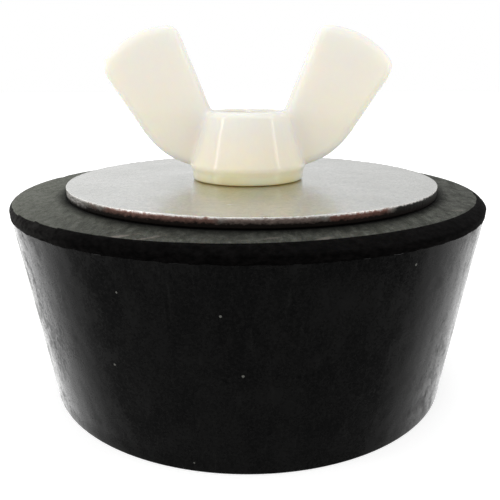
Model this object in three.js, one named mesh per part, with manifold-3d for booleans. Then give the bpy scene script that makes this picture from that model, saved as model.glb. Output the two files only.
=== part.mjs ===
// Rubber expansion plug: a tapered rubber stopper squeezed between two washers by a wing nut on a
// carriage bolt. Turning the wing nut clockwise presses the top washer down and swells the rubber.
//
// Millimetres, +Z up. The origin is on the plug's axis, in the plane of the rubber's bottom rim.
// The wings of the nut lie along X.

import * as THREE from "three";
import { mergeVertices } from "three/addons/utils/BufferGeometryUtils.js";
import Module from "manifold-3d";

const INCH = 25.4;

// Rubber stopper
const STOPPER_TOP_RADIUS = 32;
const STOPPER_BOTTOM_RADIUS = 28.3;
const STOPPER_HEIGHT = (17 / 16) * INCH;
const LIP_HEIGHT = INCH / 16;
const LIP_STEP = 0.1;
const LIP_ROUND = 0.8;
const STOPPER_FOOT_ROUND = 0.2;
const RECESS_DEPTH = 7;
const RECESS_RADIUS = 20;

// Screw thread, 3/8 inch with 16 threads to the inch
const BOLT_RADIUS = (3 / 16) * INCH;
const PITCH = INCH / 16;
const THREAD_DEPTH = 0.6134 * PITCH;
const THREAD_LENGTH = INCH;
const ROWS_PER_PITCH = 4;

// Carriage bolt
const BOLT_LENGTH = 1.25 * INCH;
const HEAD_RADIUS = (13 / 32) * INCH;
const HEAD_HEIGHT = 5;
const HEAD_RIM = 0.8;
const HEAD_CLEARANCE = 0.15;
const NECK_WIDTH = 2 * BOLT_RADIUS;
const NECK_LENGTH = 3.4;
const TIP_CHAMFER = 0.8;

// Washers
const TOP_WASHER_THICKNESS = 1.3;
const TOP_WASHER_RADIUS = INCH;
const TOP_WASHER_HOLE_RADIUS = (7 / 32) * INCH;
const TOP_WASHER_OFFSET = 0.5;
const BOTTOM_WASHER_THICKNESS = 0.9;
const BOTTOM_WASHER_RADIUS = 0.75 * INCH;
const BOTTOM_WASHER_DRILLING = 1;
const WASHER_EDGE_ROUND = 0.18;

// Wing nut
const COLLAR_RADIUS = 7.8;
const COLLAR_HEIGHT = 1.1;
const CONE_BOTTOM_RADIUS = 8.1;
const CONE_BOTTOM_HEIGHT = 2;
const CONE_TOP_RADIUS = 6.2;
const HUB_HEIGHT = 9.3;
const HUB_SHOULDER = 1;
const WING_THICKNESS = 3.8;
const WING_EDGE_ROUND = 0.8;
const FOOT_ROUND = 0.3;

// Outline of one wing, as distance out from the nut's axis and height above its base
const WING_TOP_ARC_RADIUS = 12;
const WING_TOP_ARC_CENTRE = new THREE.Vector2(9.9, 8.4);
const WING_TOP_ARC_FROM = THREE.MathUtils.degToRad(39);
const WING_TOP_ARC_TO = THREE.MathUtils.degToRad(85);
const WING_FOOT_INNER = new THREE.Vector2(5.2, 1.9);
const WING_FOOT_OUTER = new THREE.Vector2(7.9, 1.9);
const WING_BELLY_CORNER = new THREE.Vector2(11.7, 2.7);
const WING_BELLY_END = new THREE.Vector2(14.4, 6.5);
const WING_OUTER_EDGE_END = new THREE.Vector2(19.1, 13.6);
const WING_OUTER_CORNER = new THREE.Vector2(19.7, 14.9);
const WING_INNER_CORNER = new THREE.Vector2(9.6, 20.5);
const WING_INNER_EDGE_TOP = new THREE.Vector2(9, 19);
const WING_INNER_EDGE_FOOT = new THREE.Vector2(5, 9.2);

// Gaps
const TOUCH_GAP = 0.05;
const RUNNING_GAP = 0.3;

const ROUND_SEGMENTS = 64;
const SMALL_SEGMENTS = 24;
const CORNER_STEPS = 3;
const DOME_STEPS = 8;
const WING_CURVE_STEPS = 5;
const WING_BEVEL_STEPS = 2;

// Places along the axis
const boltHeadTop = HEAD_CLEARANCE + HEAD_HEIGHT;
const boltTip = boltHeadTop + BOLT_LENGTH;
const bottomWasherBase = boltHeadTop + TOUCH_GAP;
const topWasherBase = STOPPER_HEIGHT + TOUCH_GAP;
const nutBase = topWasherBase + TOP_WASHER_THICKNESS + TOUCH_GAP;

const wasm = await Module();
wasm.setup();

// A three.js geometry as a solid that can be joined and cut.
function toSolid(geometry) {
  const plain = geometry.clone();
  plain.deleteAttribute("normal");
  plain.deleteAttribute("uv");
  const merged = mergeVertices(plain, 1e-4);
  const mesh = new wasm.Mesh({
    numProp: 3,
    vertProperties: merged.attributes.position.array,
    triVerts: new Uint32Array(merged.index.array),
  });
  return new wasm.Manifold(mesh);
}

// A solid as a three.js geometry again.
function toGeometry(solid) {
  const mesh = solid.getMesh();
  const geometry = new THREE.BufferGeometry();
  geometry.setAttribute("position", new THREE.BufferAttribute(mesh.vertProperties, 3));
  geometry.setIndex(new THREE.BufferAttribute(mesh.triVerts, 1));
  geometry.computeVertexNormals();
  return geometry;
}

// Points along an arc about (x, y), from one angle to another, in a profile's plane.
function arcPoints(x, y, radius, from, to, steps = CORNER_STEPS) {
  const points = [];
  for (let i = 0; i <= steps; i++) {
    const angle = from + ((to - from) * i) / steps;
    points.push(new THREE.Vector2(x + radius * Math.cos(angle), y + radius * Math.sin(angle)));
  }
  return points;
}

// A profile of (radius, height) points turned about Z. LatheGeometry turns about Y, so it is stood up.
// The profile runs anticlockwise, with the axis on its left.
function turned(profile, segments = ROUND_SEGMENTS) {
  return new THREE.LatheGeometry(profile, segments).rotateX(Math.PI / 2);
}

// A ring profile ends where it began.
function closed(profile) {
  return [...profile, profile[0].clone()];
}

// A bar with a right-hand helical thread from bottom to top. The thread's section is a trapezoid: a
// quarter of each pitch is crest, a quarter is root, and the rest is the two flanks between them.
// Its phase depends on the height alone, so a bar and a bore made with it are in mesh.
function threadedBar(majorRadius, minorRadius, bottom, top) {
  const rows = Math.round(((top - bottom) / PITCH) * ROWS_PER_PITCH);
  const bar = new THREE.CylinderGeometry(1, 1, top - bottom, SMALL_SEGMENTS, rows);
  bar.rotateX(Math.PI / 2).translate(0, 0, (top + bottom) / 2);
  const position = bar.attributes.position;
  for (let i = 0; i < position.count; i++) {
    const x = position.getX(i);
    const y = position.getY(i);
    const length = Math.hypot(x, y);
    if (length === 0) continue; // the middle of an end face
    const turns = position.getZ(i) / PITCH - Math.atan2(y, x) / (2 * Math.PI);
    const triangle = Math.abs(2 * (turns - Math.floor(turns)) - 1);
    const crest = THREE.MathUtils.clamp(2 * triangle - 0.5, 0, 1);
    const radius = minorRadius + (majorRadius - minorRadius) * crest;
    position.setXY(i, (x / length) * radius, (y / length) * radius);
  }
  return toSolid(bar);
}

// A square bar on the axis, from bottom to top.
function squareBar(width, bottom, top) {
  const bar = new THREE.BoxGeometry(width, width, top - bottom);
  return toSolid(bar.translate(0, 0, (top + bottom) / 2));
}

function makeRubberStopper() {
  const bore = BOLT_RADIUS + RUNNING_GAP;
  const lipBase = STOPPER_HEIGHT - LIP_HEIGHT;
  const foot = STOPPER_FOOT_ROUND;
  const profile = closed([
    new THREE.Vector2(bore, RECESS_DEPTH),
    new THREE.Vector2(RECESS_RADIUS, RECESS_DEPTH),
    new THREE.Vector2(RECESS_RADIUS, 0),
    ...arcPoints(STOPPER_BOTTOM_RADIUS - foot, foot, foot, -Math.PI / 2, 0),
    new THREE.Vector2(STOPPER_TOP_RADIUS - LIP_STEP, lipBase),
    new THREE.Vector2(STOPPER_TOP_RADIUS, lipBase + LIP_STEP),
    ...arcPoints(STOPPER_TOP_RADIUS - LIP_ROUND, STOPPER_HEIGHT - LIP_ROUND, LIP_ROUND, 0, Math.PI / 2),
    new THREE.Vector2(bore, STOPPER_HEIGHT),
  ]);
  const body = toSolid(turned(profile));
  const neckTop = boltHeadTop + NECK_LENGTH + RUNNING_GAP;
  const neckPocket = squareBar(NECK_WIDTH + 2 * RUNNING_GAP, 0, neckTop);
  return toGeometry(body.subtract(neckPocket));
}

// A flat ring from height 0, with slightly rounded outer edges.
function washerRing(outerRadius, holeRadius, thickness) {
  const round = WASHER_EDGE_ROUND;
  const upper = thickness - round;
  return turned(
    closed([
      new THREE.Vector2(holeRadius, 0),
      new THREE.Vector2(outerRadius - round, 0),
      new THREE.Vector2(outerRadius, round),
      new THREE.Vector2(outerRadius, upper),
      new THREE.Vector2(outerRadius - round, thickness),
      new THREE.Vector2(holeRadius, thickness),
    ]),
  );
}

// Its square hole stops the bolt from turning.
function makeBottomWasher() {
  const thickness = BOTTOM_WASHER_THICKNESS;
  const hole = squareBar(NECK_WIDTH + 2 * RUNNING_GAP, -thickness, 2 * thickness);
  const disc = toSolid(washerRing(BOTTOM_WASHER_RADIUS, BOTTOM_WASHER_DRILLING, thickness));
  return toGeometry(disc.subtract(hole));
}

function makeCarriageBolt() {
  const shankRadius = BOLT_RADIUS - THREAD_DEPTH / 2;
  const threadBase = boltTip - THREAD_LENGTH;
  const domeRise = HEAD_HEIGHT - HEAD_RIM;
  const domeRadius = (HEAD_RADIUS ** 2 + domeRise ** 2) / (2 * domeRise);
  const domeAngle = Math.asin(HEAD_RADIUS / domeRadius);
  const domeCentre = HEAD_CLEARANCE + domeRadius;
  const dome = arcPoints(0, domeCentre, domeRadius, -Math.PI / 2, domeAngle - Math.PI / 2, DOME_STEPS);
  dome[0].x = 0;
  const headAndShank = toSolid(
    turned([
      ...dome,
      new THREE.Vector2(HEAD_RADIUS, boltHeadTop),
      new THREE.Vector2(shankRadius, boltHeadTop),
      new THREE.Vector2(shankRadius, threadBase + PITCH),
      new THREE.Vector2(0, threadBase + PITCH),
    ]),
  );
  const neck = squareBar(NECK_WIDTH, boltHeadTop - HEAD_RIM, boltHeadTop + NECK_LENGTH);
  const blankRadius = BOLT_RADIUS + PITCH;
  const tipRadius = BOLT_RADIUS - TIP_CHAMFER;
  const blank = toSolid(
    turned(
      [
        new THREE.Vector2(0, threadBase),
        new THREE.Vector2(blankRadius, threadBase),
        new THREE.Vector2(blankRadius, boltTip - (blankRadius - tipRadius)),
        new THREE.Vector2(tipRadius, boltTip),
        new THREE.Vector2(0, boltTip),
      ],
      SMALL_SEGMENTS,
    ),
  );
  const thread = threadedBar(BOLT_RADIUS, BOLT_RADIUS - THREAD_DEPTH, threadBase, boltTip);
  return toGeometry(headAndShank.add(neck).add(thread.intersect(blank)));
}

// A point of the arc that rounds the wing's top.
function onTopArc(angle) {
  const reach = new THREE.Vector2(Math.cos(angle), Math.sin(angle));
  return reach.multiplyScalar(WING_TOP_ARC_RADIUS).add(WING_TOP_ARC_CENTRE);
}

// The wing that points along +X, seen face on, in X and Z.
function wingShape() {
  const arcStart = onTopArc(WING_TOP_ARC_FROM);
  const { x, y } = WING_TOP_ARC_CENTRE;
  const shape = new THREE.Shape();
  shape.moveTo(WING_FOOT_INNER.x, WING_FOOT_INNER.y);
  shape.lineTo(WING_FOOT_OUTER.x, WING_FOOT_OUTER.y);
  shape.quadraticCurveTo(WING_BELLY_CORNER.x, WING_BELLY_CORNER.y, WING_BELLY_END.x, WING_BELLY_END.y);
  shape.lineTo(WING_OUTER_EDGE_END.x, WING_OUTER_EDGE_END.y);
  shape.quadraticCurveTo(WING_OUTER_CORNER.x, WING_OUTER_CORNER.y, arcStart.x, arcStart.y);
  shape.absarc(x, y, WING_TOP_ARC_RADIUS, WING_TOP_ARC_FROM, WING_TOP_ARC_TO, false);
  shape.quadraticCurveTo(
    WING_INNER_CORNER.x,
    WING_INNER_CORNER.y,
    WING_INNER_EDGE_TOP.x,
    WING_INNER_EDGE_TOP.y,
  );
  shape.lineTo(WING_INNER_EDGE_FOOT.x, WING_INNER_EDGE_FOOT.y);
  shape.closePath();
  return shape;
}

// One wing as a solid. Its edges are rounded by bevels that stay inside the outline.
function wingSolid(side) {
  const wing = new THREE.ExtrudeGeometry(wingShape(), {
    depth: WING_THICKNESS - 2 * WING_EDGE_ROUND,
    bevelThickness: WING_EDGE_ROUND,
    bevelSize: WING_EDGE_ROUND,
    bevelOffset: -WING_EDGE_ROUND,
    bevelSegments: WING_BEVEL_STEPS,
    curveSegments: WING_CURVE_STEPS,
  });
  wing.translate(0, 0, WING_EDGE_ROUND - WING_THICKNESS / 2).rotateX(Math.PI / 2);
  if (side < 0) wing.rotateZ(Math.PI);
  return toSolid(wing);
}

// The hub before the wings and the thread: a low collar under a rounded cone.
function hubSolid() {
  const shoulderCentre = CONE_TOP_RADIUS - HUB_SHOULDER;
  return toSolid(
    turned([
      new THREE.Vector2(0, 0),
      new THREE.Vector2(COLLAR_RADIUS - FOOT_ROUND, 0),
      new THREE.Vector2(COLLAR_RADIUS, FOOT_ROUND),
      new THREE.Vector2(COLLAR_RADIUS, COLLAR_HEIGHT),
      new THREE.Vector2(CONE_BOTTOM_RADIUS, CONE_BOTTOM_HEIGHT - FOOT_ROUND),
      new THREE.Vector2(CONE_BOTTOM_RADIUS, CONE_BOTTOM_HEIGHT),
      ...arcPoints(shoulderCentre, HUB_HEIGHT - HUB_SHOULDER, HUB_SHOULDER, 0, Math.PI / 2),
      new THREE.Vector2(0, HUB_HEIGHT),
    ]),
  );
}

// The threaded hole through the hub, in mesh with the bolt, with a running gap all round.
function nutBore() {
  const bore = threadedBar(
    BOLT_RADIUS + RUNNING_GAP,
    BOLT_RADIUS - THREAD_DEPTH + RUNNING_GAP,
    nutBase - PITCH,
    nutBase + HUB_HEIGHT + PITCH,
  );
  return bore.translate([0, 0, -nutBase]);
}

function makeWingNut() {
  return toGeometry(hubSolid().add(wingSolid(1)).add(wingSolid(-1)).subtract(nutBore()));
}

const rubber = new THREE.MeshStandardMaterial({ color: "#1d1d1c", roughness: 0.6, metalness: 0 });
const washerSteel = new THREE.MeshStandardMaterial({ color: "#c9cbc8", roughness: 0.32, metalness: 1 });
const hiddenSteel = new THREE.MeshStandardMaterial({ color: "#c2c4c4", roughness: 0.35, metalness: 1 });
const boltSteel = new THREE.MeshStandardMaterial({ color: "#b9bbbb", roughness: 0.3, metalness: 1 });
const nylon = new THREE.MeshStandardMaterial({ color: "#efebdf", roughness: 0.28, metalness: 0 });

const plug = new THREE.Group();

function place(name, geometry, material, x, z) {
  const mesh = new THREE.Mesh(geometry, material);
  mesh.name = name;
  mesh.position.set(x, 0, z);
  plug.add(mesh);
}

place("rubber_stopper", makeRubberStopper(), rubber, 0, 0);
place("carriage_bolt", makeCarriageBolt(), boltSteel, 0, 0);
place("bottom_washer", makeBottomWasher(), hiddenSteel, 0, bottomWasherBase);
place(
  "top_washer",
  washerRing(TOP_WASHER_RADIUS, TOP_WASHER_HOLE_RADIUS, TOP_WASHER_THICKNESS),
  washerSteel,
  TOP_WASHER_OFFSET,
  topWasherBase,
);
place("wing_nut", makeWingNut(), nylon, 0, nutBase);

export default plug;
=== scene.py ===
"""The looks of the rubber expansion plug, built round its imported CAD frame.

Metres, +Z up, in the CAD's own frame: the origin is on the plug's axis at the foot of the rubber.
"""
import math

import bmesh
import bpy
import numpy as np
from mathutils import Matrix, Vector, noise


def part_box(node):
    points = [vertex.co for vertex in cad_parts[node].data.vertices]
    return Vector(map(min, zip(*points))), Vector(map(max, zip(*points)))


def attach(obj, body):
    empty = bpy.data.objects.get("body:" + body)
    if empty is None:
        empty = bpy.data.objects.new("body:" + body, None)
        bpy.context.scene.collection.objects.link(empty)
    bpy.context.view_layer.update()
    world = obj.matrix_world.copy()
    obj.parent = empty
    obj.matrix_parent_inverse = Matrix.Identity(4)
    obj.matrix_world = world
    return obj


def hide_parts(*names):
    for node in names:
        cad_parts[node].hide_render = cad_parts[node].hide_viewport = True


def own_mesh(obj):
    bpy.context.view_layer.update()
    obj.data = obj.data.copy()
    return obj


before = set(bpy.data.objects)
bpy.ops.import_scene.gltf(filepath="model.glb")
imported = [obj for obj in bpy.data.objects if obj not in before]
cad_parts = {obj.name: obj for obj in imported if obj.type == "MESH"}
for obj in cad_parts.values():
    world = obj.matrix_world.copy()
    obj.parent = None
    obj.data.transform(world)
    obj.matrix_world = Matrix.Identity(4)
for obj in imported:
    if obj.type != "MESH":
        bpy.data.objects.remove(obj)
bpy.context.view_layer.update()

MM = 0.001
INCH = 25.4 * MM
TURN = 2 * math.pi
DEGREES = 360 / TURN

# Sizes read from the frame
_, rubber_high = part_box("rubber_stopper")
washer_low, washer_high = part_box("top_washer")
bottom_washer_low, bottom_washer_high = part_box("bottom_washer")
bolt_low, bolt_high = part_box("carriage_bolt")
nut_low, nut_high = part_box("wing_nut")

STOPPER_HEIGHT = rubber_high.z
STOPPER_TOP_RADIUS = rubber_high.x
WASHER_X = (washer_low.x + washer_high.x) / 2
WASHER_RADIUS = (washer_high.x - washer_low.x) / 2
WASHER_THICKNESS = washer_high.z - washer_low.z
BOTTOM_WASHER_THICKNESS = bottom_washer_high.z - bottom_washer_low.z
NUT_BASE = nut_low.z
BOLT_TIP = bolt_high.z
HEAD_RADIUS = bolt_high.x

# Sizes that the frame's boxes don't give, the same as in the CAD
STOPPER_BOTTOM_RADIUS = 28.3 * MM
LIP_HEIGHT = INCH / 16
LIP_STEP = 0.1 * MM
LIP_ROUND = 0.8 * MM
STOPPER_FOOT_ROUND = 0.2 * MM
RECESS_DEPTH = 7 * MM
RECESS_RADIUS = 20 * MM
BOLT_RADIUS = 3 / 16 * INCH
PITCH = INCH / 16
THREAD_DEPTH = 0.6134 * PITCH
THREAD_LENGTH = INCH
HEAD_HEIGHT = 5 * MM
HEAD_RIM = 0.8 * MM
NECK_LENGTH = 3.4 * MM
WASHER_HOLE_RADIUS = 7 / 32 * INCH
RUNNING_GAP = 0.3 * MM

COLLAR_RADIUS = 7.8 * MM
COLLAR_HEIGHT = 1.1 * MM
CONE_BOTTOM_RADIUS = 8.1 * MM
CONE_BOTTOM_HEIGHT = 2.0 * MM
CONE_TOP_RADIUS = 6.2 * MM
HUB_HEIGHT = 9.3 * MM
WING_THICKNESS = 3.8 * MM

# The camera, which stands where the photographer's did
CAMERA_DISTANCE = 82.9 * MM
CAMERA_HEIGHT = 41.67 * MM
CAMERA_SIDE = 0.27 * MM
CAMERA_PITCH = math.radians(16.22)
CAMERA_ROLL = math.radians(-0.1)
CAMERA_LENS = 41.95
SENSOR_WIDTH = 36


# ---------------------------------------------------------------- camera, light and floor

def make_camera():
    """The camera, close in front of the plug at the height of the wings, looking down at it."""
    data = bpy.data.cameras.new("camera")
    data.lens = CAMERA_LENS
    data.sensor_width = SENSOR_WIDTH
    data.clip_start = 1 * MM
    camera = bpy.data.objects.new("camera", data)
    camera.location = (CAMERA_SIDE, -CAMERA_DISTANCE, CAMERA_HEIGHT)
    camera.rotation_mode = "ZYX"
    camera.rotation_euler = (math.pi / 2 - CAMERA_PITCH, 0, CAMERA_ROLL)
    bpy.context.scene.collection.objects.link(camera)
    bpy.context.scene.camera = camera


def add(tree, kind, inputs=(), **settings):
    """A node of that kind, with its settings, and its inputs set to values or linked to sockets."""
    node = tree.nodes.new(kind)
    for name, value in settings.items():
        setattr(node, name, value)
    for name, value in dict(inputs).items():
        if isinstance(value, bpy.types.NodeSocket):
            tree.links.new(value, node.inputs[name])
        else:
            node.inputs[name].default_value = value
    return node


def ranged(tree, value, low, high, to_low=0.0, to_high=1.0):
    """value mapped from low..high to to_low..to_high, and kept inside."""
    node = add(tree, "ShaderNodeMapRange", {
        "Value": value, "From Min": low, "From Max": high, "To Min": to_low, "To Max": to_high})
    return node.outputs[0]


def calculated(tree, operation, first, second=0.0):
    """The result of an operation on one or two values, each a number or a socket."""
    return add(tree, "ShaderNodeMath", {0: first, 1: second}, operation=operation).outputs[0]


# The light from all round: its level, how much stronger it is from the left than from the middle, and how
# far to a side that goes on growing
WORLD_LIGHT = 0.91
SIDE_DIFFERENCE = 0.14
SIDE_SPREAD = 0.5
# Round the horizon, over this range of the direction's Z, it changes to the light from the table, which
# grows from the front to the back
HORIZON = (0.05, -0.12)
LOW_FRONT_LIGHT = 0.12
LOW_BACK_LIGHT = 2.5
LOW_LIGHT_BEGINS = -0.15
LOW_LIGHT_POWER = 1.4


def make_world():
    """A white backdrop, and soft light from all round: a little stronger from the left, and from below
    dim in front and bright behind, as from a lit table top that falls into shadow near the camera."""
    world = bpy.data.worlds.new("studio")
    bpy.context.scene.world = world
    world.use_nodes = True
    tree = world.node_tree
    tree.nodes.clear()
    direction = add(tree, "ShaderNodeTexCoord").outputs["Generated"]
    parts = add(tree, "ShaderNodeSeparateXYZ", {"Vector": direction})
    low = ranged(tree, parts.outputs["Z"], *HORIZON)
    behind = ranged(tree, parts.outputs["Y"], LOW_LIGHT_BEGINS, 1)
    rising = calculated(tree, "POWER", behind, LOW_LIGHT_POWER)
    low_light = ranged(tree, rising, 0, 1, LOW_FRONT_LIGHT, LOW_BACK_LIGHT)
    level = ranged(tree, low, 0, 1, WORLD_LIGHT, low_light)
    weak, strong = 1 - SIDE_DIFFERENCE, 1 + SIDE_DIFFERENCE
    side = ranged(tree, parts.outputs["X"], SIDE_SPREAD, -SIDE_SPREAD, weak, strong)
    strength = calculated(tree, "MULTIPLY", level, side)
    around = add(tree, "ShaderNodeBackground", {"Color": (1, 1, 1, 1), "Strength": strength})
    backdrop = add(tree, "ShaderNodeBackground", {"Color": (1, 1, 1, 1), "Strength": 1.0})
    seen = add(tree, "ShaderNodeLightPath").outputs["Is Camera Ray"]
    mix = add(tree, "ShaderNodeMixShader", {0: seen, 1: around.outputs[0], 2: backdrop.outputs[0]})
    add(tree, "ShaderNodeOutputWorld", {"Surface": mix.outputs[0]})


SOFTBOXES = (
    # name, place, size (both in metres) and power in watts
    ("strip_left", (-0.33, -0.13, 0.16), (0.035, 0.35), 0.15),
    ("strip_right", (0.33, -0.15, 0.16), (0.03, 0.35), 0.13),
    ("strip_above", (-0.02, -0.02, 0.5), (0.3, 0.04), 0.22),
)


def make_softbox(name, place, size, power):
    """A rectangular lamp at place that faces the middle of the plug."""
    data = bpy.data.lights.new(name, "AREA")
    data.shape = "RECTANGLE"
    data.size = size[0]
    data.size_y = size[1]
    data.energy = power
    lamp = bpy.data.objects.new(name, data)
    lamp.location = place
    towards = Vector((0, 0, STOPPER_HEIGHT)) - Vector(place)
    lamp.rotation_euler = towards.to_track_quat("-Z", "Y").to_euler()
    bpy.context.scene.collection.objects.link(lamp)


FLOOR_SIZE = 4
FLOOR_COLOUR = (0.7, 0.7, 0.7, 1)
FLOOR_ROUGHNESS = 0.9
FLOOR_GLOW = 0.6


def make_floor():
    """A plain white floor, bright enough that only the contact shadow shows on it."""
    bpy.ops.mesh.primitive_plane_add(size=FLOOR_SIZE)
    floor = bpy.context.object
    floor.name = "floor"
    floor.visible_glossy = False
    material = bpy.data.materials.new("floor_white")
    material.use_nodes = True
    shader = material.node_tree.nodes["Principled BSDF"]
    shader.inputs["Base Color"].default_value = FLOOR_COLOUR
    shader.inputs["Roughness"].default_value = FLOOR_ROUGHNESS
    shader.inputs["Emission Color"].default_value = (1, 1, 1, 1)
    shader.inputs["Emission Strength"].default_value = FLOOR_GLOW
    floor.data.materials.append(material)


# ---------------------------------------------------------------- mesh helpers

WELD_DISTANCE = 1e-7
DEGENERATE_DISTANCE = 1e-8
# How far apart in the noise two neighbouring seeds look
SEED_STEP = (17.3, 5.1, 9.7)


def smooth_noise(points, size, seed):
    """Smooth noise between -1 and 1 at each row of points, with features about size metres across."""
    offset = Vector([seed * step for step in SEED_STEP])
    values = [noise.noise(Vector(p) / size + offset) for p in points]
    return np.array(values)


def arc(centre, radius, start, end, steps):
    """Points on an arc in the (radius, height) plane, angles in degrees."""
    angles = np.radians(np.linspace(start, end, steps + 1))
    return [(centre[0] + radius * math.cos(a), centre[1] + radius * math.sin(a)) for a in angles]


def refine(profile, step):
    """The same outline with no stretch longer than step."""
    points = []
    for start, end in zip(profile, profile[1:]):
        start, end = np.array(start), np.array(end)
        count = max(1, math.ceil(np.linalg.norm(end - start) / step))
        points += [start + (end - start) * i / count for i in range(count)]
    points.append(np.array(profile[-1]))
    return np.array(points)


def revolve(name, profile, segments, shape=None):
    """A mesh object of the (radius, height) profile turned about Z, anticlockwise in its plane.

    A profile that ends where it began makes a ring. shape moves the points: it is given their angles,
    radii and heights, as arrays of segments by profile points, and returns new radii and heights."""
    ring = np.allclose(profile[0], profile[-1])
    points = np.array(profile[:-1] if ring else profile)
    count = len(points)
    angles = np.linspace(0, TURN, segments, endpoint=False)[:, None] * np.ones((1, count))
    radii = np.ones((segments, 1)) * points[:, 0]
    heights = np.ones((segments, 1)) * points[:, 1]
    if shape:
        radii, heights = shape(angles, radii, heights)
    vertices = np.stack([radii * np.cos(angles), radii * np.sin(angles), heights], axis=-1)
    spans = count if ring else count - 1
    i, k = np.meshgrid(np.arange(segments), np.arange(spans), indexing="ij")
    i_next, k_next = (i + 1) % segments, (k + 1) % count
    corners = [i * count + k, i_next * count + k, i_next * count + k_next, i * count + k_next]
    faces = np.stack(corners, axis=-1).reshape(-1, 4)
    mesh = bpy.data.meshes.new(name)
    mesh.from_pydata(vertices.reshape(-1, 3).tolist(), [], faces.tolist())
    mesh.validate()
    piece = bpy.data.objects.new(name, mesh)
    bpy.context.scene.collection.objects.link(piece)
    weld(mesh)
    return piece


def weld(mesh):
    """Joins points that lie in one place, as those of a profile's end on the axis do."""
    work = bmesh.new()
    work.from_mesh(mesh)
    bmesh.ops.remove_doubles(work, verts=work.verts, dist=WELD_DISTANCE)
    bmesh.ops.dissolve_degenerate(work, edges=work.edges, dist=DEGENERATE_DISTANCE)
    work.to_mesh(mesh)
    work.free()
    mesh.shade_smooth()


def bake_modifiers(piece):
    """Replaces the piece's mesh by what its modifiers make of it."""
    graph = bpy.context.evaluated_depsgraph_get()
    made = bpy.data.meshes.new_from_object(piece.evaluated_get(graph))
    piece.modifiers.clear()
    piece.data = made


def paint(piece, materials, chosen):
    """Gives the piece its materials. chosen is given the faces' centres and normals, and returns for each
    face which of the materials it has."""
    for material in materials:
        piece.data.materials.append(material)
    polygons = piece.data.polygons
    centres = np.array([p.center for p in polygons])
    normals = np.array([p.normal for p in polygons])
    polygons.foreach_set("material_index", chosen(centres, normals).astype(np.int32))
    piece.data.update()


# ---------------------------------------------------------------- rubber stopper

LIP_BASE = STOPPER_HEIGHT - LIP_HEIGHT
RUBBER_STEP = 0.7 * MM
RUBBER_SEGMENTS = 512
POCKET_RADIUS = (BOLT_RADIUS + RUNNING_GAP) * math.sqrt(2)


def rubber_profile():
    """The stopper's outline from the bore's upper end, down the inside, round the foot and up the side."""
    bore = BOLT_RADIUS + RUNNING_GAP
    pocket_top = bolt_low.z + HEAD_HEIGHT + NECK_LENGTH + RUNNING_GAP
    foot = STOPPER_FOOT_ROUND
    top = LIP_ROUND
    inner_foot = 0.4 * MM
    corner = 0.2 * MM
    side_top = (STOPPER_TOP_RADIUS - LIP_STEP, LIP_BASE)
    taper = (side_top[0] - STOPPER_BOTTOM_RADIUS) / LIP_BASE
    under_lip = (side_top[0] - taper * LIP_STEP, LIP_BASE - LIP_STEP)
    return [
        (bore, pocket_top),
        (POCKET_RADIUS, pocket_top),
        (POCKET_RADIUS, RECESS_DEPTH),
        (RECESS_RADIUS - corner, RECESS_DEPTH),
        (RECESS_RADIUS, RECESS_DEPTH - corner),
        *arc((RECESS_RADIUS + inner_foot, inner_foot), inner_foot, 180, 270, 4),
        *arc((STOPPER_BOTTOM_RADIUS - foot, foot), foot, -90, 0, 6),
        under_lip,
        side_top,
        *arc((side_top[0], LIP_BASE + LIP_STEP), LIP_STEP, -60, 0, 3),
        *arc((STOPPER_TOP_RADIUS - top, STOPPER_HEIGHT - top), top, 0, 90, 8),
        (bore, STOPPER_HEIGHT),
        (bore, pocket_top),
    ]


# How far the flat top's edge is worn back at the worst place and, as a share of that, all round; where the
# worst place is, and how far the wear spreads from it, in degrees
RIM_WEAR = 1.5 * MM
RIM_WEAR_ALL_ROUND = 0.1
RIM_WEAR_BEARING = -66
RIM_WEAR_SPREAD = 42


def wear_rim(angles, radii, heights):
    """How far the edge of the flat top has been worn inwards, most of all at one bearing."""
    away = (np.degrees(angles) - RIM_WEAR_BEARING + 180) % 360 - 180
    worn = RIM_WEAR * (RIM_WEAR_ALL_ROUND + np.exp(-((away / RIM_WEAR_SPREAD) ** 2)))
    flat_edge = STOPPER_TOP_RADIUS - LIP_ROUND
    covered = WASHER_RADIUS + WASHER_X
    up = np.clip((heights - STOPPER_HEIGHT + LIP_ROUND) / LIP_ROUND, 0, 1)
    out = np.clip((radii - covered) / (flat_edge - covered), 0, 1)
    return worn * up * out


# The casting's unevenness. Each size says how far apart its features are, and each depth how deep they go.
WAVE_SIZE = 14 * MM
WAVE_DEPTH = 0.05 * MM
RIPPLE_SIZE = 3 * MM
RIPPLE_DEPTH = 0.015 * MM
RAGGED_SIZE = 1.6 * MM
FINE_SIZE = 0.6 * MM
PARTING_SPREAD = 0.25 * MM
PARTING_RAGGED = 0.14 * MM
PARTING_FINE = 0.08 * MM
LIP_RAGGED = 0.03 * MM
SIDE_MARGIN = 1 * MM
RECESS_MARGIN = 2 * MM
RIM_SPREAD = 0.5 * MM
RIM_BREADTH = 1.2 * MM
RIM_FINE = 0.05 * MM
NICK_SIZE = 4 * MM
NICK_SPARSENESS = 0.42
NICK_IN = 0.9 * MM
NICK_DOWN = 0.1 * MM


def bump_at(values, middle, spread):
    """1 where a value is at the middle, falling smoothly to nothing a few spreads away."""
    return np.exp(-(((values - middle) / spread) ** 2))


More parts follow.
